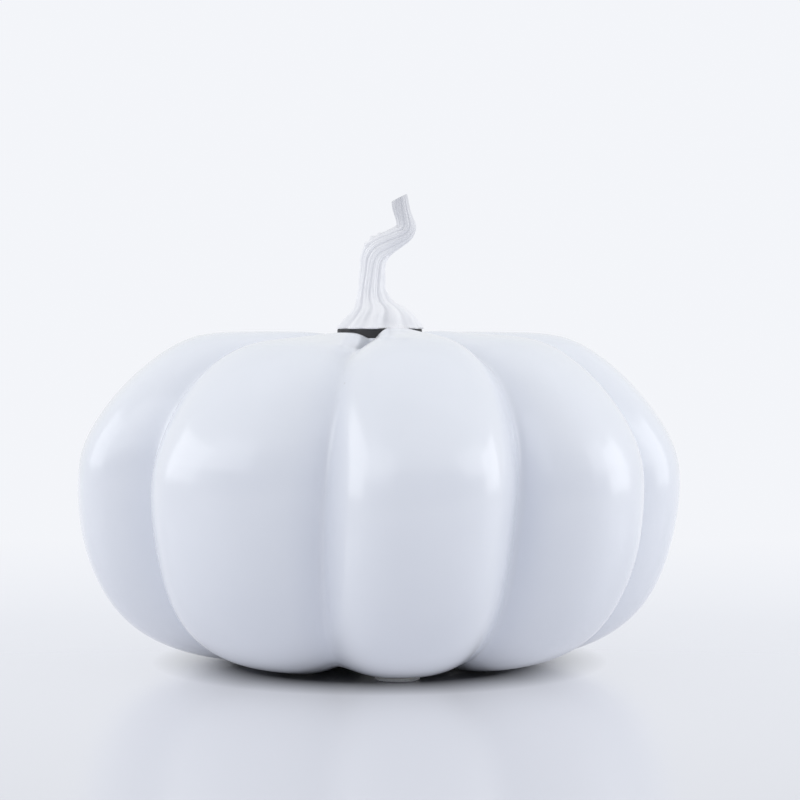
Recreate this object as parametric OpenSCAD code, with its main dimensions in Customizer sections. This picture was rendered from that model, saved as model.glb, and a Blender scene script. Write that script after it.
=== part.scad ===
// Ceramic pumpkin figure: a hollow slip-cast body with nine lobes, and a ridged stem
// that plugs into the crown with a steel pin and a rubber grommet.
// The origin is on the table, under the centre of the body. +Z is up and -Y is the front.

/* [Body] */
// Widest diameter, across the crests of two opposite lobes
body_d = 200; // [190:5:240]
// Height of the lobes' tops above the table
body_h = 108.3; // [100:0.1:125]
// Diameter across the bottoms of two opposite grooves
groove_d = 165; // [140:1:172]
// Thickness of the fired wall
wall = 4.5; // [3.5:0.5:6]
// Diameter of the opening in the crown that takes the stem's grommet
crown_hole_d = 12; // [11:0.5:14]
// Diameter of the drain and vent hole in the base
vent_hole_d = 10; // [6:1:14]

/* [Stem] */
// Diameter of the stem's flat foot
foot_d = 29.2; // [26:0.2:34]
// Height of the stem above its foot
stem_h = 44.7; // [35:0.1:60]
// Diameter of the steel pin that is bonded into the foot
pin_d = 5; // [4:0.5:6]
// How far the pin reaches below the foot
pin_drop = 21; // [15:1:30]
// Thickness of the grommet's flange, between crown and foot
flange_t = 3; // [2:0.5:4]

/* [Pads] */
// Diameter of the felt pads under the base
pad_d = 14.5; // [10:0.5:16]
// Thickness of a pad's felt
felt_t = 1; // [0.8:0.1:2]

/* [Hidden] */

// Body: the lobes differ a little, as on the real fruit. They run anticlockwise from above,
// and the first is the one right of the front.
lobe_widths = [43, 36, 39, 39, 39, 39, 39, 38, 48];          // degrees of the turn that each takes
lobe_bulges = [2.2, 1.1, -0.1, 0, 3.9, 0, 1, 0.8, -5];       // crest's distance beyond body_d / 2
lobe_lifts = [0.7, 0, 1, 0, 0, 0, 0, 1.3, -1];               // crest's height above body_h
crown_rises = [4.2, 3.2, 0.5, -1, -1, -1, -0.5, 0, 3.8];     // a crest's rise towards the stem
first_groove = -11.2;                  // degrees from the front to the first lobe's groove
groove_sweep = 7.3;                    // degrees that a groove turns on its way from base to crown
groove_softness = 0.28;                // how round the bottom of a groove is
base_fullness = 2.7;                   // how square the lobes are in plan: 2 is a parabola
crown_fullness = 2.9;
lobe_steps = 10;
foot_z = felt_t + 0.2;                 // the lobes' feet are ground flat at this height
grind = 1.2;                           // depth ground off each lobe
seat_z = body_h - 0.9;                 // flat land around the crown opening
seat_r = foot_d / 2;
recess_z = 8;                          // flat land around the vent hole
recess_r = 16;

// Outline of a groove and of a lobe's crest: [widest r, its z, top r, top z, top holds, low r, low z,
// low holds]. The holds are explained at quarter().
groove_line = [groove_d / 2, 0.54 * body_h, 42, body_h - 4.2, [0.3, 0.9], 49, foot_z + 3, [0.3, 0.85]];
function crest_line(lobe) = [
    body_d / 2 + lobe_bulges[lobe], 0.59 * body_h, 56.4, body_h + lobe_lifts[lobe], [0.34, 0.36],
    37, foot_z - grind, [0.64, 0.78]
];

base_steps = 5;
low_steps = 10;
top_steps = 11;
crown_steps = 7;
ring_count = base_steps + low_steps + top_steps + crown_steps;
softening = 1.1;                       // stations between the points that outline_point() averages

// Quarter curve from [1, 0] at t = 0 to [0, 1] at t = 1, where t = 0 is an outline's widest point.
// The holds say how long it keeps its first and its last direction: 0.55 each gives a circle.
function quarter(t, holds) =
    let (s = 1 - t)
    [
        s * s * s + 3 * s * s * t + 3 * s * t * t * holds[1],
        3 * s * s * t * holds[0] + 3 * s * t * t + t * t * t
    ];

// Station i of an outline, from the recess under the base, out round the side, to the seat in the crown.
// rise lifts the outline just outside the seat. This one has a sharp change of curve where two
// stretches meet; outline_point() evens it out.
function drawn_point(line, rise, i, inset) =
    let (
        wide_r = line[0] - inset, wide_z = line[1],
        top_r = line[2], top_z = line[3] - inset, top_holds = line[4],
        low_r = line[5], low_z = line[6] + inset, low_holds = line[7],
        recess = recess_z + inset, seat = seat_z - inset,
        at_low = base_steps, at_wide = at_low + low_steps, at_top = at_wide + top_steps
    )
    i <= at_low ?
        let (a = 90 * i / base_steps)
        [recess_r + (low_r - recess_r) * sin(a), low_z + (recess - low_z) * (1 - sin(a))]
    : i <= at_wide ?
        let (q = quarter((at_wide - i) / low_steps, low_holds))
        [low_r + (wide_r - low_r) * q[0], wide_z - (wide_z - low_z) * q[1]]
    : i <= at_top ?
        let (q = quarter((i - at_wide) / top_steps, top_holds))
        [top_r + (wide_r - top_r) * q[0], wide_z + (top_z - wide_z) * q[1]]
    :
        let (inward = sin(90 * (i - at_top) / crown_steps))
        [
            top_r + (seat_r - top_r) * inward,
            seat + (top_z - seat + rise * inward * inward) * (1 - pow(inward, 16))
        ];

// The same outline, softened: a weighted mean of five stations, which draw together at both ends
function outline_point(line, rise, i, inset) =
    let (
        reach = min(softening, i / 2, (ring_count - i) / 2),
        near = drawn_point(line, rise, i - reach, inset) + drawn_point(line, rise, i + reach, inset),
        far = drawn_point(line, rise, i - 2 * reach, inset) + drawn_point(line, rise, i + 2 * reach, inset)
    ) (6 * drawn_point(line, rise, i, inset) + 4 * near + far) / 16;

// Height of a lobe's skin between groove (u = -1 or 1) and crest (u = 0), as a share of its depth
function lobe_height(u, fullness) =
    let (rounded = norm([1 - pow(abs(u), fullness), groove_softness]))
    (rounded - groove_softness) / (norm([1, groove_softness]) - groove_softness);
function lobe_fullness(i) =
    base_fullness + (crown_fullness - base_fullness) * min(1, max(0, (i / ring_count - 0.15) / 0.6));

function sum_before(list, n) = n == 0 ? 0 : list[n - 1] + sum_before(list, n - 1);
function groove_azimuth(lobe) = first_groove + sum_before(lobe_widths, lobe);
// Turn of a whole ring, which makes the grooves sweep
function ring_turn(i) = groove_sweep * (i / ring_count - 0.55);
function on_circle(r, z, azimuth) = [r * sin(azimuth), -r * cos(azimuth), z];

// One ring of the body's skin: steps points along every lobe, closer together near the grooves
function body_ring(i, inset, steps) = [
    for (lobe = [0 : len(lobe_widths) - 1])
        let (
            crest = outline_point(crest_line(lobe), crown_rises[lobe], i, inset),
            groove = outline_point(groove_line, 0, i, inset)
        )
        for (step = [0 : steps - 1])
            let (
                u = sin(180 * step / steps - 90),
                p = groove + (crest - groove) * lobe_height(u, lobe_fullness(i))
            )
            on_circle(
                p[0], max(p[1], foot_z + inset),
                groove_azimuth(lobe) + lobe_widths[lobe] * (u + 1) / 2 + ring_turn(i)
            )
];

// Closed skin over a stack of rings that run anticlockwise from above, lowest ring first
module skin(rings) {
    count = len(rings[0]);
    last = len(rings) - 1;
    polyhedron(
        points = [for (ring = rings) each ring],
        faces = [
            [for (i = [0 : count - 1]) i],
            for (k = [0 : last - 1])
                for (i = [0 : count - 1])
                    let (a = k * count + i, b = k * count + (i + 1) % count)
                    each [[a, a + count, b + count], [a, b + count, b]],
            [for (i = [count - 1 : -1 : 0]) last * count + i]
        ],
        convexity = 10
    );
}

module body_skin(inset, steps) {
    skin([for (i = [0 : ring_count]) body_ring(i, inset, steps)]);
}

// Hollow body: the wall follows the lobes, with a round opening in the crown and one in the base
module body_shell() {
    color("white")
    difference() {
        body_skin(0, lobe_steps);
        body_skin(wall, lobe_steps / 2);
        translate([0, 0, seat_z - 2 * wall])
            cylinder(d = crown_hole_d, h = 3 * wall, $fn = 64);
        translate([0, 0, recess_z - wall])
            cylinder(d = vent_hole_d, h = 3 * wall, $fn = 64);
    }
}

// Stem: the centre line as [x, y, share of stem_h, radius, twist], from foot to cut tip
stem_z = seat_z + flange_t;
stem_line = [
    [0, 0, 0, foot_d / 2, 0],
    [0, 0, 0.012, foot_d / 2, 0],
    [0.1, 0, 0.045, 13.4, 1],
    [0.2, 0, 0.085, 12.0, 2],
    [0.3, 0, 0.125, 10.4, 4],
    [-0.2, 0, 0.165, 8.4, 6],
    [-1.5, 0, 0.205, 6.5, 9],
    [-2.3, 0.1, 0.255, 5.3, 13],
    [-2.5, 0.1, 0.31, 4.7, 17],
    [-2.4, 0.2, 0.38, 4.4, 21],
    [-2.3, 0.4, 0.46, 4.3, 26],
    [-1.9, 0.5, 0.53, 4.5, 33],
    [-0.4, 0.6, 0.59, 4.5, 42],
    [2.6, 0.6, 0.64, 4.0, 52],
    [5.6, 0.3, 0.68, 3.7, 60],
    [8.0, -0.2, 0.72, 3.5, 68],
    [8.8, -0.7, 0.765, 3.3, 76],
    [8.2, -1.1, 0.82, 2.9, 84],
    [7.2, -1.4, 0.89, 2.9, 92],
    [6.5, -1.6, 0.97, 2.9, 98]
];
upright_rows = 8;                      // rows of the foot, which stay level
tip_slope = 27;                        // the tip is cut at this angle, its right side the higher
ridges = 11;
stem_columns = 4 * ridges;
ridge_depth = 0.12;                    // depth of the valleys, as a share of the radius

function stem_centre(i) = [stem_line[i][0], stem_line[i][1], stem_z + stem_line[i][2] * stem_h];
// Direction that a row faces: upright in the foot, along the centre line, and tilted at the cut tip
function stem_heading(i) =
    i < upright_rows ? [0, 0, 1]
    : i == len(stem_line) - 1 ? [-sin(tip_slope), 0, cos(tip_slope)]
    : let (step = stem_centre(i + 1) - stem_centre(i - 1)) step / norm(step);
function stem_ring(i) =
    let (
        along = stem_heading(i),
        across = cross([0, 1, 0], along) / norm(cross([0, 1, 0], along)),
        other = cross(along, across),
        r = stem_line[i][3]
    ) [
        for (k = [0 : stem_columns - 1])
            let (
                a = 360 * k / stem_columns + stem_line[i][4],
                ridge = 1 - ridge_depth * (0.5 - 0.5 * cos(ridges * 360 * k / stem_columns))
            )
            stem_centre(i) + r * ridge * (cos(a) * across + sin(a) * other)
    ];

// Twisted stem with a flat foot, and a blind hole for its pin
module stem() {
    color("gainsboro")
    difference() {
        skin([for (i = [0 : len(stem_line) - 1]) stem_ring(i)]);
        translate([0, 0, stem_z - 1])
            cylinder(d = pin_d, h = 1 + pin_in_stem, $fn = 48);
    }
}

pin_in_stem = 12;
pin_chamfer = 0.6;

// Steel pin, bonded into the stem's foot
module stem_pin() {
    color("silver")
    translate([0, 0, stem_z - pin_drop])
        rotate_extrude($fn = 48)
            polygon([
                [0, 0],
                [pin_d / 2 - pin_chamfer, 0],
                [pin_d / 2, pin_chamfer],
                [pin_d / 2, pin_drop + pin_in_stem],
                [0, pin_drop + pin_in_stem]
            ]);
}

running_gap = 0.05;                    // radial clearance of pin and sleeve in their holes
rib_count = 3;
rib_pitch = 4;
rib_depth = 0.7;

// Rubber grommet: a flange under the stem's foot, and a ribbed sleeve in the crown opening
module stem_grommet() {
    bore_r = pin_d / 2 + running_gap;
    sleeve_r = crown_hole_d / 2 - running_gap;
    sleeve_l = rib_count * rib_pitch + 1;
    color("dimgray")
    translate([0, 0, seat_z])
        rotate_extrude($fn = 64)
            polygon([
                [bore_r, -sleeve_l],
                for (rib = [rib_count : -1 : 1])
                    each [
                        [sleeve_r - rib_depth, -rib * rib_pitch - (rib == rib_count ? 1 : 0)],
                        [sleeve_r, -rib * rib_pitch + 1.4],
                        [sleeve_r, -rib * rib_pitch + 2.2],
                        [sleeve_r - rib_depth, -rib * rib_pitch + 2.6]
                    ],
                [sleeve_r - rib_depth, 0],
                [foot_d / 2 - 0.5, 0],
                [foot_d / 2 - 0.5, flange_t],
                [bore_r, flange_t]
            ]);
}

// Pads: one under every third lobe, each with its own film of adhesive
pad_ring_r = 43.5;
pad_sides = ["front", "right", "left"];
function pad_azimuth(k) =
    let (lobe = k * len(lobe_widths) / len(pad_sides))
    groove_azimuth(lobe) + lobe_widths[lobe] / 2 + ring_turn(base_steps);

module pad_disc(k, z, t, tone) {
    color(tone)
    translate(on_circle(pad_ring_r, z, pad_azimuth(k)))
        cylinder(d = pad_d, h = t, $fn = 48);
}
module felt_pad(k) {
    pad_disc(k, 0, felt_t, "whitesmoke");
}
module pad_adhesive(k) {
    pad_disc(k, felt_t, foot_z - felt_t, "ivory");
}

body_shell();
stem();
stem_pin();
stem_grommet();
for (k = [0 : len(pad_sides) - 1]) {
    felt_pad(k);
    pad_adhesive(k);
}
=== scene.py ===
import math

import bpy
import numpy as np
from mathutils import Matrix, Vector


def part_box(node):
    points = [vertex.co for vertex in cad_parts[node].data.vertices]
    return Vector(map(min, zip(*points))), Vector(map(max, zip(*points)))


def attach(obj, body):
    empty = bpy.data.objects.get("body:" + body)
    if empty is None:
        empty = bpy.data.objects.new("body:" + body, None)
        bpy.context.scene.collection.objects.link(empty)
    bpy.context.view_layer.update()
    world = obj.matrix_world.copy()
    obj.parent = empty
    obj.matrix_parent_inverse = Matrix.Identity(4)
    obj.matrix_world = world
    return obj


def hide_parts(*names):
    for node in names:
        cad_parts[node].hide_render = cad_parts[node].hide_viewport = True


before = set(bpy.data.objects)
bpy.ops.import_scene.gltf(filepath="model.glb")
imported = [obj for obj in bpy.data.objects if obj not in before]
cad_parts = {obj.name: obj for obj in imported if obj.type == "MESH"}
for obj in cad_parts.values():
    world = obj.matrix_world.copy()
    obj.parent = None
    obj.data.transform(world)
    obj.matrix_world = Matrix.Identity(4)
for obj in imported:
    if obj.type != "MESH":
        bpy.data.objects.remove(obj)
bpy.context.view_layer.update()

stem_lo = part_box("stem")[0]
grommet_lo, grommet_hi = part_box("stem_grommet")

MM = 0.001


# ---------------------------------------------------------------- camera and stage

CAMERA_AT = (0.0, -0.7521, 0.1114)
CAMERA_TURN = (88.12, 0.0, -0.516)      # degrees
LENS = 101.5                            # on a sensor of this width, both in mm
SENSOR = 36.0

SURROUND = (0.900, 0.914, 0.950)        # the backdrop's colour
DIM_SIDE = (0.0, -1.0, -0.9)            # as a light, the surround is dimmest low on this side
DIM_STOPS = [                           # shade by the share of DIM_SIDE in a direction, 0.5 being none
    (0.0, (0.82, 0.835, 0.85)),
    (0.57, (0.85, 0.865, 0.885)),
    (0.72, (0.50, 0.52, 0.58)),
    (0.90, (0.46, 0.48, 0.55))
]

FLOOR_R = 1.6
FLOOR_RINGS, FLOOR_COLUMNS = 48, 96
FLOOR_COLOUR = (0.20, 0.205, 0.22)
FLOOR_FADE_CENTRE = (0.0, -0.1, 0.0)    # the floor fades into the surround at these distances from here
FLOOR_FADE = (0.24, 0.55)
GLOW_COLOUR = (0.90, 0.92, 1.0)
GLOW_EDGE = (0.050, 0.076)              # distances from the axis between which the glow rises from nothing; inside the first, a painted contact shadow
GLOW = 0.53
GLOW_UNSEEN = 0.22                      # share of the glow that lights the object but isn't seen directly


def make_camera():
    data = bpy.data.cameras.new("camera")
    data.sensor_width = SENSOR
    data.lens = LENS
    data.clip_start, data.clip_end = 0.02, 20.0
    camera = bpy.data.objects.new("camera", data)
    camera.location = CAMERA_AT
    camera.rotation_euler = [math.radians(a) for a in CAMERA_TURN]
    bpy.context.scene.collection.objects.link(camera)
    bpy.context.scene.camera = camera


def aim(obj, target):
    offset = np.array(target) - np.array(obj.location)
    yaw = math.atan2(offset[1], offset[0]) - math.pi / 2
    pitch = math.atan2(math.hypot(offset[0], offset[1]), -offset[2])
    obj.rotation_euler = (pitch, 0.0, yaw)


def softbox(name, at, size, watts, colour, target=(0.0, 0.0, 0.06)):
    data = bpy.data.lights.new(name, "AREA")
    data.shape = "RECTANGLE"
    data.size, data.size_y = size
    data.energy = watts
    data.color = colour
    light = bpy.data.objects.new(name, data)
    light.location = at
    aim(light, target)
    light.visible_camera = False
    bpy.context.scene.collection.objects.link(light)


def make_world():
    """A pale surround: even to the camera, but as a light dimmer low at the front and brighter above."""
    world = bpy.data.worlds.new("studio")
    bpy.context.scene.world = world
    world.use_nodes = True
    tree = world.node_tree
    tree.nodes.clear()
    out = tree.nodes.new("ShaderNodeOutputWorld")
    seen = tree.nodes.new("ShaderNodeBackground")
    seen.inputs["Color"].default_value = (*SURROUND, 1.0)
    lit = tree.nodes.new("ShaderNodeBackground")
    coords = tree.nodes.new("ShaderNodeTexCoord")
    facing = tree.nodes.new("ShaderNodeVectorMath")
    facing.operation = "DOT_PRODUCT"
    facing.inputs[1].default_value = DIM_SIDE
    tree.links.new(coords.outputs["Generated"], facing.inputs[0])
    shade = ramp(tree, DIM_STOPS)
    share = math_node(tree, "MULTIPLY_ADD", facing.outputs["Value"], 0.5, 0.5)
    tree.links.new(share, shade.inputs["Fac"])
    tree.links.new(shade.outputs["Color"], lit.inputs["Color"])
    path = tree.nodes.new("ShaderNodeLightPath")
    mix = tree.nodes.new("ShaderNodeMixShader")
    tree.links.new(path.outputs["Is Camera Ray"], mix.inputs["Fac"])
    tree.links.new(lit.outputs[0], mix.inputs[1])
    tree.links.new(seen.outputs[0], mix.inputs[2])
    tree.links.new(mix.outputs[0], out.inputs["Surface"])


def make_floor():
    """A pale glossy table top. Its colour fades into the surround, so that no horizon shows."""
    radii = FLOOR_R * (np.arange(1, FLOOR_RINGS + 1) / FLOOR_RINGS) ** 1.5
    angles = full_turn(FLOOR_COLUMNS)
    grid = np.stack([
        radii[:, None] * np.cos(angles), radii[:, None] * np.sin(angles),
        np.zeros((FLOOR_RINGS, FLOOR_COLUMNS))
    ], axis=2)
    floor = strip_mesh("table_top", grid, start_cap=(0.0, 0.0, 0.0))
    material, tree, shader, where = new_material("pale_table_top", 0.2, Specular_IOR_Level=0.4)
    shader.inputs["Base Color"].default_value = (*FLOOR_COLOUR, 1.0)
    shader.inputs["Emission Color"].default_value = (*GLOW_COLOUR, 1.0)
    # Painted light: the floor glows and lights the object from below; near the axis the glow is left out, a
    # painted contact shadow where the object stands
    glow = spread(tree, distance_from(tree, where, (0.0, 0.0, 0.0)), *GLOW_EDGE, 0.0, GLOW)
    path = tree.nodes.new("ShaderNodeLightPath")
    seen = math_node(tree, "MULTIPLY_ADD", path.outputs["Is Camera Ray"], -GLOW_UNSEEN, 1.0)
    tree.links.new(math_node(tree, "MULTIPLY", glow, seen), shader.inputs["Emission Strength"])
    surround = tree.nodes.new("ShaderNodeEmission")
    surround.inputs["Color"].default_value = (*SURROUND, 1.0)
    mix = tree.nodes.new("ShaderNodeMixShader")
    far = spread(tree, distance_from(tree, where, FLOOR_FADE_CENTRE), *FLOOR_FADE)
    tree.links.new(far, mix.inputs["Fac"])
    tree.links.new(shader.outputs[0], mix.inputs[1])
    tree.links.new(surround.outputs[0], mix.inputs[2])
    tree.links.new(mix.outputs[0], tree.nodes["Material Output"].inputs["Surface"])
    floor.data.materials.append(material)


# ---------------------------------------------------------------- node helpers

def ramp(tree, stops):
    node = tree.nodes.new("ShaderNodeValToRGB")
    elements = node.color_ramp.elements
    while len(elements) < len(stops):
        elements.new(0.5)
    for element, (position, colour) in zip(elements, stops):
        element.position = position
        element.color = (*colour, 1.0)
    return node


def math_node(tree, operation, *inputs):
    node = tree.nodes.new("ShaderNodeMath")
    node.operation = operation
    for socket, value in zip(node.inputs, inputs):
        if isinstance(value, (int, float)):
            socket.default_value = value
        else:
            tree.links.new(value, socket)
    return node.outputs[0]


def new_material(name, roughness, **sockets):
    """A Principled material whose uniform values sit on the shader's own sockets."""
    material = bpy.data.materials.new(name)
    material.use_nodes = True
    tree = material.node_tree
    shader = tree.nodes["Principled BSDF"]
    shader.inputs["Roughness"].default_value = roughness
    for socket, value in sockets.items():
        shader.inputs[socket.replace("_", " ")].default_value = value
    coords = tree.nodes.new("ShaderNodeTexCoord")
    return material, tree, shader, coords.outputs["Object"]


def distance_from(tree, where, point):
    node = tree.nodes.new("ShaderNodeVectorMath")
    node.operation = "DISTANCE"
    node.inputs[1].default_value = point
    tree.links.new(where, node.inputs[0])
    return node.outputs["Value"]


def noise(tree, where, scale, detail=3.0, rough=0.55, stretch=None):
    if stretch:
        mapping = tree.nodes.new("ShaderNodeMapping")
        mapping.inputs["Scale"].default_value = stretch
        tree.links.new(where, mapping.inputs["Vector"])
        where = mapping.outputs["Vector"]
    node = tree.nodes.new("ShaderNodeTexNoise")
    node.inputs["Scale"].default_value = scale
    node.inputs["Detail"].default_value = detail
    node.inputs["Roughness"].default_value = rough
    tree.links.new(where, node.inputs["Vector"])
    return node.outputs["Fac"]


def spread(tree, value, low, high, lowest=0.0, highest=1.0):
    """Maps the value's low..high to lowest..highest, clamped."""
    node = tree.nodes.new("ShaderNodeMapRange")
    node.inputs["From Min"].default_value = low
    node.inputs["From Max"].default_value = high
    node.inputs["To Min"].default_value = lowest
    node.inputs["To Max"].default_value = highest
    tree.links.new(value, node.inputs["Value"])
    return node.outputs["Result"]


def blend_colour(tree, amount, first, second):
    node = tree.nodes.new("ShaderNodeMix")
    node.data_type = "RGBA"
    tree.links.new(amount, node.inputs["Factor"])
    for socket, colour in ((node.inputs["A"], first), (node.inputs["B"], second)):
        if isinstance(colour, tuple):
            socket.default_value = (*colour, 1.0)
        else:
            tree.links.new(colour, socket)
    return node.outputs["Result"]


def bump(tree, shader, height, distance, strength=1.0, below=None):
    node = tree.nodes.new("ShaderNodeBump")
    node.inputs["Strength"].default_value = strength
    node.inputs["Distance"].default_value = distance
    tree.links.new(height, node.inputs["Height"])
    if below is not None:
        tree.links.new(below, node.inputs["Normal"])
    tree.links.new(node.outputs["Normal"], shader.inputs["Normal"])
    return node.outputs["Normal"]


def attribute(tree, name):
    node = tree.nodes.new("ShaderNodeAttribute")
    node.attribute_name = name
    return node.outputs["Fac"]


# ---------------------------------------------------------------- materials

def glaze_material():
    """White gloss glaze: darker and bluer towards the grooves, painted shade with some pooled glaze, with
    soft waves and fine specks.
    """
    material, tree, shader, where = new_material(
        "white_glaze", 0.22, IOR=1.52, Coat_Weight=0.5, Coat_Roughness=0.12, Coat_IOR=1.5
    )
    cloud = spread(tree, noise(tree, where, 26.0, 3.0), 0.32, 0.68)
    white = blend_colour(tree, cloud, (0.805, 0.828, 0.880), (0.825, 0.846, 0.896))
    # Painted shade in the grooves, with some glaze pooling: darker and bluer towards each groove
    pooled_and_shaded = spread(tree, attribute(tree, "groove"), 0.0, 0.5, 0.4, 0.0)
    tinted = blend_colour(tree, pooled_and_shaded, white, (0.745, 0.775, 0.855))
    speck = tree.nodes.new("ShaderNodeTexVoronoi")
    speck.inputs["Scale"].default_value = 85.0
    tree.links.new(where, speck.inputs["Vector"])
    near_centre = spread(tree, speck.outputs["Distance"], 0.018, 0.034, 1.0, 0.0)
    patch = spread(tree, noise(tree, where, 40.0, 1.0), 0.60, 0.62)
    is_speck = math_node(tree, "MULTIPLY", near_centre, patch)
    faint_speck = math_node(tree, "MULTIPLY", is_speck, 0.35)
    speckled = blend_colour(tree, faint_speck, tinted, (0.50, 0.47, 0.43))
    tree.links.new(speckled, shader.inputs["Base Color"])
    dullness = spread(tree, noise(tree, where, 55.0, 4.0), 0.3, 0.7, 0.19, 0.27)
    tree.links.new(dullness, shader.inputs["Roughness"])
    waves = bump(tree, shader, noise(tree, where, 70.0, 2.0), 0.00009, 0.5)
    peel = bump(tree, shader, noise(tree, where, 620.0, 2.0), 0.00001, 0.35, below=waves)
    bump(tree, shader, math_node(tree, "SUBTRACT", 1.0, is_speck), 0.00006, 0.6, below=peel)
    return material


def bisque_material():
    """Bare fired clay: the ground feet and the inside of the body."""
    material, tree, shader, where = new_material("bare_bisque", 0.85)
    cloud = spread(tree, noise(tree, where, 90.0, 5.0), 0.3, 0.7)
    clay = blend_colour(tree, cloud, (0.70, 0.67, 0.61), (0.79, 0.77, 0.72))
    tree.links.new(clay, shader.inputs["Base Color"])
    dullness = spread(tree, noise(tree, where, 300.0), 0.3, 0.7, 0.75, 0.95)
    tree.links.new(dullness, shader.inputs["Roughness"])
    bump(tree, shader, noise(tree, where, 1500.0, 4.0), 0.00004, 0.6)
    return material


def stem_material():
    """Satin white paint, with painted shade: grey in the valleys, and growing darker towards the cut tip."""
    material, tree, shader, where = new_material(
        "stem_paint", 0.4, IOR=1.48, Coat_Weight=0.25, Coat_Roughness=0.2
    )
    cloud = spread(tree, noise(tree, where, 120.0, 4.0), 0.3, 0.7)
    white = blend_colour(tree, cloud, (0.89, 0.89, 0.91), (0.93, 0.93, 0.945))
    # Painted shade: grey in the ridges' valleys
    valley_shade = spread(tree, attribute(tree, "valley"), 0.4, 1.0, 0.0, 0.2)
    valley_shaded = blend_colour(tree, valley_shade, white, (0.50, 0.51, 0.56))
    # Painted shade: darker up the arm and on the cut face, so that the foot stays lightest
    paint = blend_colour(tree, attribute(tree, "tip_shade"), valley_shaded, (0.44, 0.44, 0.47))
    tree.links.new(paint, shader.inputs["Base Color"])
    dullness = spread(tree, noise(tree, where, 200.0, 3.0), 0.3, 0.7, 0.32, 0.5)
    tree.links.new(dullness, shader.inputs["Roughness"])
    lumps = bump(tree, shader, noise(tree, where, 300.0, 2.0), 0.00004, 0.4)
    bump(tree, shader, noise(tree, where, 1600.0, 1.0), 0.00001, 0.2, below=lumps)
    return material


def rubber_material():
    """Moulded rubber in black, painted shade for the dark gap under the stem's foot, with a dusty bloom."""
    material, tree, shader, where = new_material("black_rubber", 0.62)
    bloom = spread(tree, noise(tree, where, 160.0, 5.0), 0.4, 0.75)
    shade_black = blend_colour(tree, bloom, (0.016, 0.016, 0.018), (0.045, 0.045, 0.048))
    tree.links.new(shade_black, shader.inputs["Base Color"])
    dullness = spread(tree, noise(tree, where, 240.0), 0.3, 0.7, 0.52, 0.74)
    tree.links.new(dullness, shader.inputs["Roughness"])
    bump(tree, shader, noise(tree, where, 1400.0, 3.0), 0.00003, 0.5)
    return material


def steel_material():
    """Turned steel: fine rings around the pin."""
    material, tree, shader, where = new_material("pin_steel", 0.3, Metallic=1.0)
    rings = noise(tree, where, 500.0, 2.0, 0.5, (0.05, 0.05, 8.0))
    steel = blend_colour(tree, spread(tree, rings, 0.3, 0.7), (0.50, 0.50, 0.51), (0.64, 0.64, 0.65))
    tree.links.new(steel, shader.inputs["Base Color"])
    tree.links.new(spread(tree, rings, 0.3, 0.7, 0.24, 0.38), shader.inputs["Roughness"])
    bump(tree, shader, rings, 0.00001, 0.5)
    return material


def felt_material():
    """White wool felt: matted short fibres."""
    material, tree, shader, where = new_material("white_felt", 0.95, Sheen_Weight=0.4, Sheen_Roughness=0.5)
    fibres = noise(tree, where, 1500.0, 5.0, 0.7)
    wool = blend_colour(tree, spread(tree, fibres, 0.3, 0.7), (0.74, 0.74, 0.73), (0.88, 0.88, 0.87))
    tree.links.new(wool, shader.inputs["Base Color"])
    bump(tree, shader, fibres, 0.0002, 0.8)
    return material


def adhesive_material():
    """Milky acrylic film."""
    material, tree, shader, where = new_material("adhesive", 0.5)
    cloud = spread(tree, noise(tree, where, 400.0, 4.0), 0.3, 0.7)
    milky = blend_colour(tree, cloud, (0.80, 0.77, 0.68), (0.87, 0.85, 0.78))
    tree.links.new(milky, shader.inputs["Base Color"])
    bump(tree, shader, noise(tree, where, 900.0), 0.00002, 0.4)
    return material


# ---------------------------------------------------------------- mesh helpers

def full_turn(columns):
    return 2 * math.pi * np.arange(columns) / columns


def strip_mesh(name, rings, wrap=False, start_cap=None, end_cap=None):
    """Mesh over rings of points, rings x columns x 3. Each ring closes on itself.
    wrap joins the last ring to the first; a cap closes an end with a fan round its centre."""
    count, columns = rings.shape[:2]
    points = rings.reshape(-1, 3).tolist()
    faces = []
    for k in range(count if wrap else count - 1):
        low, high = k * columns, (k + 1) % count * columns
        for i in range(columns):
            j = (i + 1) % columns
            faces.append((low + i, low + j, high + j, high + i))
    if start_cap is not None:
        points.append(tuple(start_cap))
        faces += [(len(points) - 1, (i + 1) % columns, i) for i in range(columns)]
    if end_cap is not None:
        points.append(tuple(end_cap))
        base = (count - 1) * columns
        faces += [(len(points) - 1, base + i, base + (i + 1) % columns) for i in range(columns)]
    mesh = bpy.data.meshes.new(name)
    mesh.from_pydata(points, [], faces)
    mesh.polygons.foreach_set("use_smooth", [True] * len(faces))
    mesh.update()
    obj = bpy.data.objects.new(name, mesh)
    bpy.context.scene.collection.objects.link(obj)
    return obj


def set_attribute(obj, name, values):
    """Stores one number per point. Points beyond the list, such as a cap's centre, get the last value."""
    layer = obj.data.attributes.new(name, "FLOAT", "POINT")
    missing = len(obj.data.vertices) - len(values)
    layer.data.foreach_set("value", list(values) + [values[-1]] * missing)


def rounded(corners, radius, steps=5):
    """The closed outline's corners, each replaced by an arc of about that radius."""
    result = []
    count = len(corners)
    for i, corner in enumerate(corners):
        here = np.array(corner, float)
        before = np.array(corners[i - 1], float) - here
        after = np.array(corners[(i + 1) % count], float) - here
        reach = min(radius, 0.45 * np.linalg.norm(before), 0.45 * np.linalg.norm(after))
        start = here + before / np.linalg.norm(before) * reach
        end = here + after / np.linalg.norm(after) * reach
        for t in np.linspace(0.0, 1.0, steps + 1):
            result.append((1 - t) ** 2 * start + 2 * t * (1 - t) * here + t * t * end)
    return np.array(result)


def lathe(name, outline, columns=96):
    """Turns a closed outline of (r, z) points, anticlockwise, about the Z axis."""
    angles = full_turn(columns)
    rings = np.stack([
        outline[:, :1] * np.cos(angles), outline[:, :1] * np.sin(angles),
        np.repeat(outline[:, 1:], columns, axis=1)
    ], axis=2)
    return strip_mesh(name, rings, wrap=True)


# ---------------------------------------------------------------- body

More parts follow.
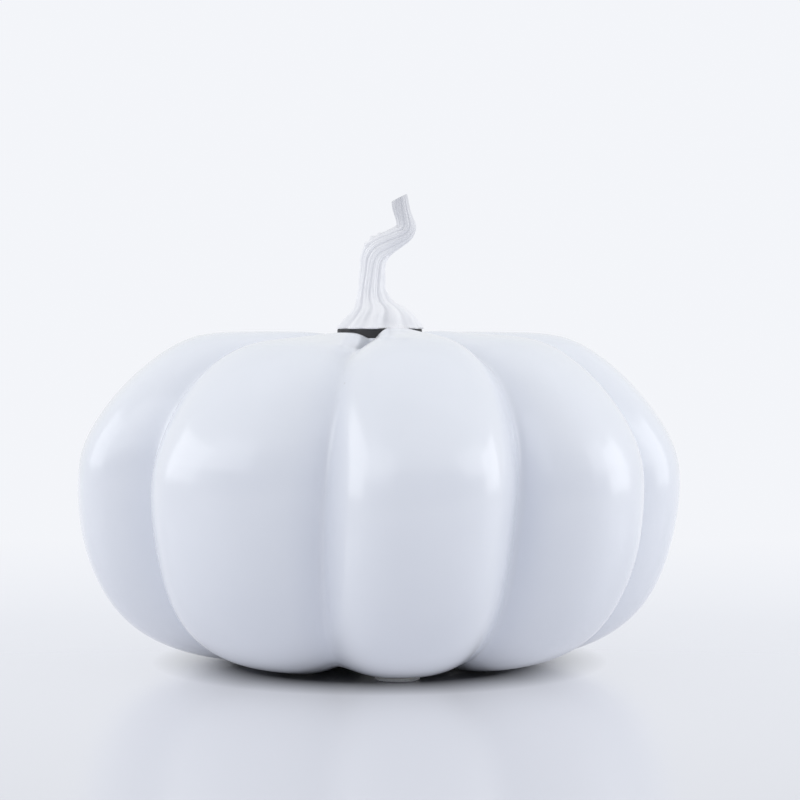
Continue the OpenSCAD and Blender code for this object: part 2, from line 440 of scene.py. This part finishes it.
# The body's outlines, in millimetres and degrees, are those of the CAD model.
BODY_R = 100.0
BODY_H = 108.3
GROOVE_R = 82.5
WALL = 4.5
FOOT_Z = 1.2
GRIND = 1.2
SEAT_Z = BODY_H - 0.9
SEAT_R = 14.6
RECESS_Z = 8.0
RECESS_R = 16.0
CROWN_HOLE_R = 6.0
VENT_R = 5.0
LOBE_WIDTHS = (43, 36, 39, 39, 39, 39, 39, 38, 48)
LOBE_BULGES = (2.2, 1.1, -0.1, 0, 3.9, 0, 1, 0.8, -5)
LOBE_LIFTS = (0.7, 0, 1, 0, 0, 0, 0, 1.3, -1)
CROWN_RISES = (4.2, 3.2, 0.5, -1, -1, -1, -0.5, 0, 3.8)
FIRST_GROOVE = -11.2
GROOVE_SWEEP = 7.3
GROOVE_SOFTNESS = 0.28
BASE_FULLNESS, CROWN_FULLNESS = 2.7, 2.9
CREST_HOLDS_TOP, CREST_HOLDS_LOW = (0.34, 0.36), (0.64, 0.78)
GROOVE_HOLDS_TOP, GROOVE_HOLDS_LOW = (0.3, 0.9), (0.3, 0.85)
# Shares of the way from base to crown at which the outline's four stretches end
SHARE_LOW, SHARE_WIDE, SHARE_TOP = 5 / 33, 15 / 33, 26 / 33
SOFTENING = 1.1 / 33
LOBE_COLUMNS = 48
EDGE_R = 0.8                            # softened edges of the two openings
# Hand-finished castings are never quite true: (depth, waves around, turn per mm of height, start)
WAVES = ((0.16, 3, 0.06, 0.0), (0.12, 5, -0.11, 1.0), (0.10, 8, 0.15, 0.0))


def quarter(t, holds):
    """Quarter curve from (1, 0) to (0, 1) as t runs from 0 to 1, which keeps its directions by its holds."""
    s = 1 - t
    across = s ** 3 + 3 * s * s * t + 3 * s * t * t * holds[1]
    return across, 3 * s * s * t * holds[0] + 3 * s * t * t + t ** 3


def outline(share, *shape):
    """The drawn outline, softened: a weighted mean of five places, which draw together at both ends."""
    reach = np.minimum(SOFTENING, np.minimum(share, 1 - share) / 2)
    total = 0.0
    for offset, weight in ((-2, 1), (-1, 4), (0, 6), (1, 4), (2, 1)):
        total = total + weight / 16 * np.array(drawn_outline(share + offset * reach, *shape))
    return total


def drawn_outline(share, wide, top, top_holds, low, low_holds, rise, inset):
    """One outline of the skin as r and z, by shares of the way from the base's recess to the seat."""
    wide_r, wide_z = wide[0] - inset, wide[1]
    top_r, top_z = top[0], top[1] - inset
    low_r, low_z = low[0], low[1] + inset
    recess, seat = RECESS_Z + inset, SEAT_Z - inset
    under = np.sin(math.pi / 2 * np.clip(share / SHARE_LOW, 0, 1))
    side = quarter(np.clip((SHARE_WIDE - share) / (SHARE_WIDE - SHARE_LOW), 0, 1), low_holds)
    shoulder = quarter(np.clip((share - SHARE_WIDE) / (SHARE_TOP - SHARE_WIDE), 0, 1), top_holds)
    inward = np.sin(math.pi / 2 * np.clip((share - SHARE_TOP) / (1 - SHARE_TOP), 0, 1))
    stretch = [share <= SHARE_LOW, share <= SHARE_WIDE, share <= SHARE_TOP]
    r = np.select(stretch, [
        RECESS_R + (low_r - RECESS_R) * under,
        low_r + (wide_r - low_r) * side[0],
        top_r + (wide_r - top_r) * shoulder[0]
    ], top_r + (SEAT_R - top_r) * inward)
    z = np.select(stretch, [
        low_z + (recess - low_z) * (1 - under),
        wide_z - (wide_z - low_z) * side[1],
        wide_z + (top_z - wide_z) * shoulder[1]
    ], seat + (top_z - seat + rise * inward ** 2) * (1 - inward ** 16))
    return r, z


def lobe_height(u, fullness):
    bare = np.hypot(1 - np.abs(u) ** fullness, GROOVE_SOFTNESS) - GROOVE_SOFTNESS
    return bare / (math.hypot(1, GROOVE_SOFTNESS) - GROOVE_SOFTNESS)


def body_skin(share, inset):
    """Rings of the skin in millimetres, their azimuths, and how high each point stands above its groove."""
    fullness = BASE_FULLNESS + (CROWN_FULLNESS - BASE_FULLNESS) * np.clip((share - 0.15) / 0.6, 0, 1)
    turn = GROOVE_SWEEP * (share - 0.55)
    u = np.sin(math.pi * np.arange(LOBE_COLUMNS) / LOBE_COLUMNS - math.pi / 2)
    height = lobe_height(u[None, :], fullness[:, None])
    groove_r, groove_z = outline(
        share, (GROOVE_R, 0.54 * BODY_H), (42.0, BODY_H - 4.2), GROOVE_HOLDS_TOP,
        (49.0, FOOT_Z + 3.0), GROOVE_HOLDS_LOW, 0.0, inset
    )
    r, z, azimuth, heights = [], [], [], []
    start = FIRST_GROOVE
    for width, bulge, lift, rise in zip(LOBE_WIDTHS, LOBE_BULGES, LOBE_LIFTS, CROWN_RISES):
        crest_r, crest_z = outline(
            share, (BODY_R + bulge, 0.59 * BODY_H), (56.4, BODY_H + lift), CREST_HOLDS_TOP,
            (37.0, FOOT_Z - GRIND), CREST_HOLDS_LOW, rise, inset
        )
        r.append(groove_r[:, None] + (crest_r - groove_r)[:, None] * height)
        z.append(np.maximum(groove_z[:, None] + (crest_z - groove_z)[:, None] * height, FOOT_Z + inset))
        azimuth.append(start + width * (u[None, :] + 1) / 2 + turn[:, None])
        heights.append(height)
        start += width
    return [np.concatenate(part, axis=1) for part in (r, z, azimuth, heights)]


def round_rings(azimuth_row, r_values, z_values):
    """Plain round rings with the columns of a neighbouring ring."""
    r = np.repeat(np.array(r_values)[:, None], len(azimuth_row), axis=1)
    z = np.repeat(np.array(z_values)[:, None], len(azimuth_row), axis=1)
    azimuth = np.repeat(azimuth_row[None, :], len(r_values), axis=0)
    return r, z, azimuth, np.ones_like(r)


def quarter_bend(start, corner, end, steps=5):
    """Points of a rounded edge from start to end, as lists of r and z."""
    t = np.linspace(0, 1, steps + 1)
    bend = [(1 - t) ** 2 * a + 2 * t * (1 - t) * b + t * t * c for a, b, c in zip(start, corner, end)]
    return list(bend[0]), list(bend[1])


def opening(azimuth_row, hole_r, top, bottom, land):
    """A round opening through the wall, from the upper face's land to the lower face's, with soft edges."""
    upper_r, upper_z = quarter_bend((hole_r + EDGE_R, top), (hole_r, top), (hole_r, top - EDGE_R))
    lower_r, lower_z = quarter_bend((hole_r, bottom + EDGE_R), (hole_r, bottom), (hole_r + EDGE_R, bottom))
    return round_rings(
        azimuth_row, [*land, *upper_r, *lower_r, *land[::-1]],
        [top] * 2 + upper_z + lower_z + [bottom] * 2
    )


def make_body():
    """The glazed casting: outer skin, crown opening, inner skin and vent hole as one closed strip."""
    outer_share = np.unique(np.concatenate([
        np.linspace(0, SHARE_LOW, 14), np.linspace(SHARE_LOW, SHARE_TOP, 110), np.linspace(SHARE_TOP, 1, 36)
    ]))
    inner_share = np.unique(np.concatenate([
        np.linspace(0, SHARE_LOW, 8), np.linspace(SHARE_LOW, SHARE_TOP, 40), np.linspace(SHARE_TOP, 1, 14)
    ]))
    outer = body_skin(outer_share, 0.0)
    inner = [part[::-1] for part in body_skin(inner_share, WALL)]
    crown = opening(outer[2][-1], CROWN_HOLE_R, SEAT_Z, SEAT_Z - WALL, (SEAT_R - 3, 9.0))
    vent = opening(outer[2][0], VENT_R, RECESS_Z + WALL, RECESS_Z, (RECESS_R - 3, 8.5))
    r, z, azimuth, heights = [np.concatenate(parts) for parts in zip(outer, crown, inner, vent)]
    angle = np.radians(azimuth)
    wave = sum(depth * np.sin(around * angle + rate * z + start) for depth, around, rate, start in WAVES)
    # None near the crown and the base, so that both keep their fits
    keep = np.clip((r - 30) / 30, 0, 1) * np.clip((z - 8) / 20, 0, 1)
    r = r + wave * keep
    rings = MM * np.stack([r * np.sin(angle), -r * np.cos(angle), z], axis=2)
    body = strip_mesh("glazed_body", rings, wrap=True)
    set_attribute(body, "groove", heights.ravel())
    body.data.materials.append(glaze_material())
    body.data.materials.append(bisque_material())
    # Bare clay on the ground feet and inside
    columns = r.shape[1]
    first_inner = len(outer[0]) + len(crown[0]) - 2
    last_inner = first_inner + len(inner[0]) + 2
    for index, polygon in enumerate(body.data.polygons):
        ring = index // columns
        ground = all(body.data.vertices[v].co.z < (FOOT_Z + 0.005) * MM for v in polygon.vertices)
        if ground or first_inner <= ring <= last_inner:
            polygon.material_index = 1
    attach(body, "pumpkin")
    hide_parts("body_shell")


# ---------------------------------------------------------------- stem

STEM_H = 44.7
# Centre line from foot to cut tip, as in the CAD: x, y, share of the height, radius, twist in degrees
STEM_LINE = np.array([
    (0, 0, 0, 14.6, 0), (0, 0, 0.012, 14.6, 0), (0.1, 0, 0.045, 13.4, 1), (0.2, 0, 0.085, 12.0, 2),
    (0.3, 0, 0.125, 10.4, 4), (-0.2, 0, 0.165, 8.4, 6), (-1.5, 0, 0.205, 6.5, 9),
    (-2.3, 0.1, 0.255, 5.3, 13), (-2.5, 0.1, 0.31, 4.7, 17), (-2.4, 0.2, 0.38, 4.4, 21),
    (-2.3, 0.4, 0.46, 4.3, 26), (-1.9, 0.5, 0.53, 4.5, 33), (-0.4, 0.6, 0.59, 4.5, 42),
    (2.6, 0.6, 0.64, 4.0, 52), (5.6, 0.3, 0.68, 3.7, 60), (8.0, -0.2, 0.72, 3.5, 68),
    (8.8, -0.7, 0.765, 3.3, 76), (8.2, -1.1, 0.82, 2.9, 84), (7.2, -1.4, 0.89, 2.9, 92),
    (6.5, -1.6, 0.97, 2.9, 98)
])
UPRIGHT_ROWS = 8
TIP_SLOPE = 27.0
RIDGES = 11
RIDGE_COLUMNS = 24
ROW_STEPS = 12
PIN_R = 2.52
PIN_DEPTH = 12.0
# Three small spurs on the upper side of the arm: share of the height, and angle round the centre line
SPURS = ((0.575, 200.0), (0.605, 188.0), (0.632, 196.0))
SPUR_H = 0.75
# Cut face, from rim to middle: share of the rim's radius, and how far it lies below the rim
CUT_FACE = ((0.97, -0.10), (0.91, -0.14), (0.80, -0.05), (0.6, 0.14), (0.35, 0.24), (0.15, 0.27))
CUT_DEPTH = 0.28


def smooth_rows(rows, steps):
    """Rows interpolated by Catmull-Rom curves, steps to each stretch."""
    padded = np.vstack([2 * rows[0] - rows[1], rows, 2 * rows[-1] - rows[-2]])
    result = []
    for a, b, c, d in zip(padded, padded[1:], padded[2:], padded[3:]):
        for t in np.arange(steps) / steps:
            square, cube = 2 * a - 5 * b + 4 * c - d, 3 * b - a - 3 * c + d
            result.append(0.5 * (2 * b + (c - a) * t + square * t ** 2 + cube * t ** 3))
    result.append(rows[-1])
    return np.array(result)


def make_stem():
    """The stem: ridged along its length, with root-like fingers at the foot and a cut tip."""
    rows = smooth_rows(STEM_LINE, ROW_STEPS)
    stem_z = stem_lo.z / MM
    centres = np.column_stack([rows[:, 0], rows[:, 1], stem_z + rows[:, 2] * STEM_H])
    heading = np.gradient(centres, axis=0)
    heading /= np.linalg.norm(heading, axis=1)[:, None]
    up = np.array([0.0, 0.0, 1.0])
    tip = np.array([-math.sin(math.radians(TIP_SLOPE)), 0.0, math.cos(math.radians(TIP_SLOPE))])
    row = np.arange(len(rows)) / ROW_STEPS
    to_up = np.clip((UPRIGHT_ROWS - row) / 1.5, 0, 1)[:, None]
    to_tip = np.clip((row - (len(STEM_LINE) - 2)), 0, 1)[:, None]
    heading = heading * (1 - to_up) * (1 - to_tip) + up * to_up + tip * to_tip
    heading /= np.linalg.norm(heading, axis=1)[:, None]
    across = np.cross([0.0, 1.0, 0.0], heading)
    across /= np.linalg.norm(across, axis=1)[:, None]
    other = np.cross(heading, across)

    columns = RIDGES * RIDGE_COLUMNS
    turn = full_turn(columns)
    ridge_index = np.arange(columns) // RIDGE_COLUMNS
    share = rows[:, 2][:, None]
    # The valleys open out between the fingers of the foot, are narrow in the shaft and shallow in the arm
    flare = np.clip((0.20 - share) / 0.16, 0, 1)
    valley = (0.5 - 0.5 * np.cos(RIDGES * turn))[None, :] ** (3.0 - 1.6 * flare)
    arm = np.clip((share - 0.5) / 0.15, 0, 1)
    depth = (0.11 + 0.05 * np.sin(math.pi * np.clip(share / 0.26, 0, 1))) * (1 - 0.4 * arm)
    depth = depth * (1 + 0.30 * np.sin(2.4 * ridge_index + 0.7))[None, :]
    strand = (0.5 - 0.5 * np.cos(2 * RIDGES * turn + 5 * share)) ** 2
    fade_in = np.clip(share / 0.03, 0, 1)
    tip_fade = 1 - 0.5 * np.clip((share - 0.9) / 0.07, 0, 1)
    profile = 1 - (depth * valley + fade_in * 0.045 * (1 - 0.6 * arm) * strand * (1 - valley)) * tip_fade
    # Slight knuckles along the shaft
    profile = profile * (1 + fade_in * 0.018 * np.sin(38 * share + 2 * turn[None, :]))
    a = turn[None, :] + np.radians(rows[:, 4])[:, None]
    radius = rows[:, 3][:, None] * profile
    for at_share, at_angle in SPURS:
        away = np.degrees(np.angle(np.exp(1j * (a - math.radians(at_angle)))))
        radius = radius + SPUR_H * np.exp(-((share - at_share) / 0.008) ** 2 - (away / 13.0) ** 2)
    radial = np.cos(a)[:, :, None] * across[:, None, :] + np.sin(a)[:, :, None] * other[:, None, :]
    rings = centres[:, None, :] + radius[:, :, None] * radial
    valleys = valley * np.ones_like(rings[:, :, 0])

    # Underside: a softened edge, the flat foot, and the blind hole for the pin
    edge = rings[0]
    centre = centres[0]
    outward = edge - centre
    outward /= np.linalg.norm(outward, axis=1)[:, None]
    circle = centre + PIN_R * outward
    under = [
        circle + up * PIN_DEPTH, circle + up * 0.4, circle + up * 0.1 + 0.08 * outward,
        circle + 0.4 * outward, 0.5 * (circle + edge), edge - 0.5 * outward,
        edge - 0.12 * outward + 0.1 * up
    ]
    rings[0] = edge + 0.45 * up
    # Tip: a softened rim round a slightly hollow cut
    rim, middle = rings[-1], centres[-1]
    cut = [middle + (rim - middle) * k - heading[-1] * drop for k, drop in CUT_FACE]
    rings = np.concatenate([np.array(under), rings, np.array(cut)])
    stem = strip_mesh(
        "ridged_stem", MM * rings, start_cap=MM * (centre + up * PIN_DEPTH),
        end_cap=MM * (middle - heading[-1] * CUT_DEPTH)
    )
    plain = np.zeros((len(under), columns))
    # Painted shade, by rows: none on the underside, growing up the arm, most on the cut face
    tip_shade_side = 0.5 * np.clip((share[:, 0] - 0.55) / 0.4, 0, 1)
    tip_shade = np.concatenate([np.zeros(len(under)), tip_shade_side, np.full(len(cut), 0.8)])
    set_attribute(stem, "valley", np.concatenate([plain, valleys, np.zeros((len(cut), columns))]).ravel())
    set_attribute(stem, "tip_shade", np.repeat(tip_shade, columns))
    stem.data.materials.append(stem_material())
    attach(stem, "stem")
    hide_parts("stem")


# ---------------------------------------------------------------- grommet, pads, pin, films

# Barbs of the grommet's sleeve, in millimetres: three, one every RIB_PITCH
RIBS = 3
RIB_PITCH = 4.0
RIB_TIP = (1.4, 2.2)                    # the full width is between these heights above a barb's foot
RIB_END = 2.6
PAD_COLUMNS = 96
PAD_RINGS = 12


def make_grommet():
    """Rubber grommet: a flange under the stem's foot and a sleeve with three barbs."""
    seat, top = SEAT_Z, grommet_hi.z / MM
    sleeve_end = grommet_lo.z / MM
    flange_r = (grommet_hi.x - grommet_lo.x) / 2 / MM
    bore_r, sleeve_r, core_r = 2.55, 5.95, 5.25
    outline_points = [(bore_r, sleeve_end), (core_r, sleeve_end)]
    for rib in range(RIBS, 0, -1):
        foot = seat - RIB_PITCH * rib
        outline_points += [(sleeve_r, foot + h) for h in RIB_TIP] + [(core_r, foot + RIB_END)]
        if rib > 1:
            outline_points.append((core_r, foot + RIB_PITCH))
    outline_points += [(core_r, seat), (flange_r, seat), (flange_r, top), (bore_r, top)]
    grommet = lathe("rubber_grommet", MM * rounded(outline_points, 0.45))
    # The flange's black is painted shade for the gap under the stem's foot
    grommet.data.materials.append(rubber_material())
    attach(grommet, "grommet")
    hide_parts("stem_grommet")


def make_pad(side, material):
    """Felt disc with soft, slightly ragged edges."""
    node = f"felt_pad_{side}"
    low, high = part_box(node)
    x, y = (low.x + high.x) / 2, (low.y + high.y) / 2
    radius, thick = (high.x - low.x) / 2 - 0.00008, high.z - low.z
    soft = 0.35 * thick
    t = np.linspace(-math.pi / 2, math.pi / 2, 9)
    side_r = radius - soft + soft * np.cos(t)
    side_z = np.where(t < 0, soft + soft * np.sin(t), thick - soft + soft * np.sin(t))
    inward = np.linspace(0.96, 0.08, PAD_RINGS)
    r = np.concatenate([(radius - soft) * inward[::-1], side_r, (radius - soft) * inward])
    z = np.concatenate([np.zeros(PAD_RINGS), side_z, np.full(PAD_RINGS, thick)])
    angle = full_turn(PAD_COLUMNS)
    ragged = 1 + 0.006 * np.sin(17 * angle + 1) + 0.005 * np.sin(41 * angle) - 0.011
    rings = np.stack([
        x + r[:, None] * ragged * np.cos(angle), y + r[:, None] * ragged * np.sin(angle),
        low.z + np.repeat(z[:, None], PAD_COLUMNS, axis=1)
    ], axis=2)
    pad = strip_mesh(f"felt_disc_{side}", rings, start_cap=(x, y, low.z), end_cap=(x, y, high.z))
    pad.data.materials.append(material)
    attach(pad, "pumpkin")
    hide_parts(node)


def give_material(node, material):
    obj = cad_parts[node]
    obj.data.materials.clear()
    obj.data.materials.append(material)


make_camera()
make_world()
make_floor()
softbox("overhead", (0.0, 0.05, 0.80), (0.8, 0.5), 0.2, (0.97, 0.98, 1.0))
softbox("left_front", (-0.67, -0.62, 0.56), (0.8, 0.55), 0.9, (0.95, 0.97, 1.0))
softbox("right_front", (0.74, -0.50, 0.50), (0.6, 0.55), 0.8, (0.95, 0.97, 1.0))
softbox("left_side", (-0.88, 0.0, 0.36), (0.6, 0.5), 1.2, (0.97, 0.98, 1.0))
softbox("right_side", (0.88, -0.05, 0.30), (0.5, 0.55), 1.3, (0.97, 0.98, 1.0))

make_body()
make_stem()
make_grommet()
felt = felt_material()
film = adhesive_material()
for side in ("front", "right", "left"):
    make_pad(side, felt)
    give_material(f"pad_adhesive_{side}", film)
give_material("stem_pin", steel_material())

bpy.context.scene.view_settings.view_transform = "Standard"
